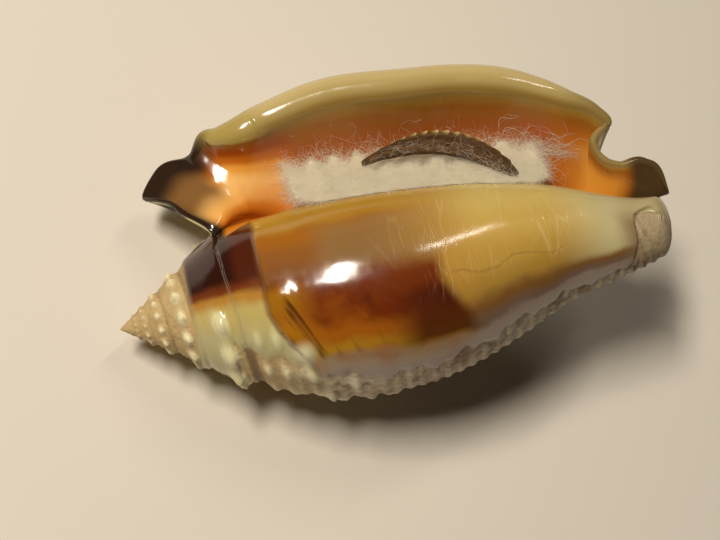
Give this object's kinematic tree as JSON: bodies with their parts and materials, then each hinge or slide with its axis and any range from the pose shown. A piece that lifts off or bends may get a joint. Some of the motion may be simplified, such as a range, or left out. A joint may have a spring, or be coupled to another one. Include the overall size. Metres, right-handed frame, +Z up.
{
  "type": "conch shell",
  "caption": "Strombid conch with knobbed spire, glossy callus, flaring orange lip with a pointed digit and a short canal; cotton wool and a serrated horny operculum in the aperture",
  "frame": {"origin": "bottom centre of the bounding box, on the surface that the shell lies on", "axes": "+X from the apex toward the canal along the table, +Y toward the outer lip, +Z up out of the table"},
  "size_m": [0.0676, 0.0394, 0.031],
  "materials": {
    "shell": "glossy callus and lip in brown, amber, orange and cream over a rough cream and brown mottled back and spire",
    "cotton": "loose matt white cotton wool",
    "operculum": "dark brown horn with paler translucent tooth tips"
  },
  "bodies": {
    "root": {"shell": "shell", "cotton": "cotton", "operculum": "operculum"}
  },
  "joints": []
}
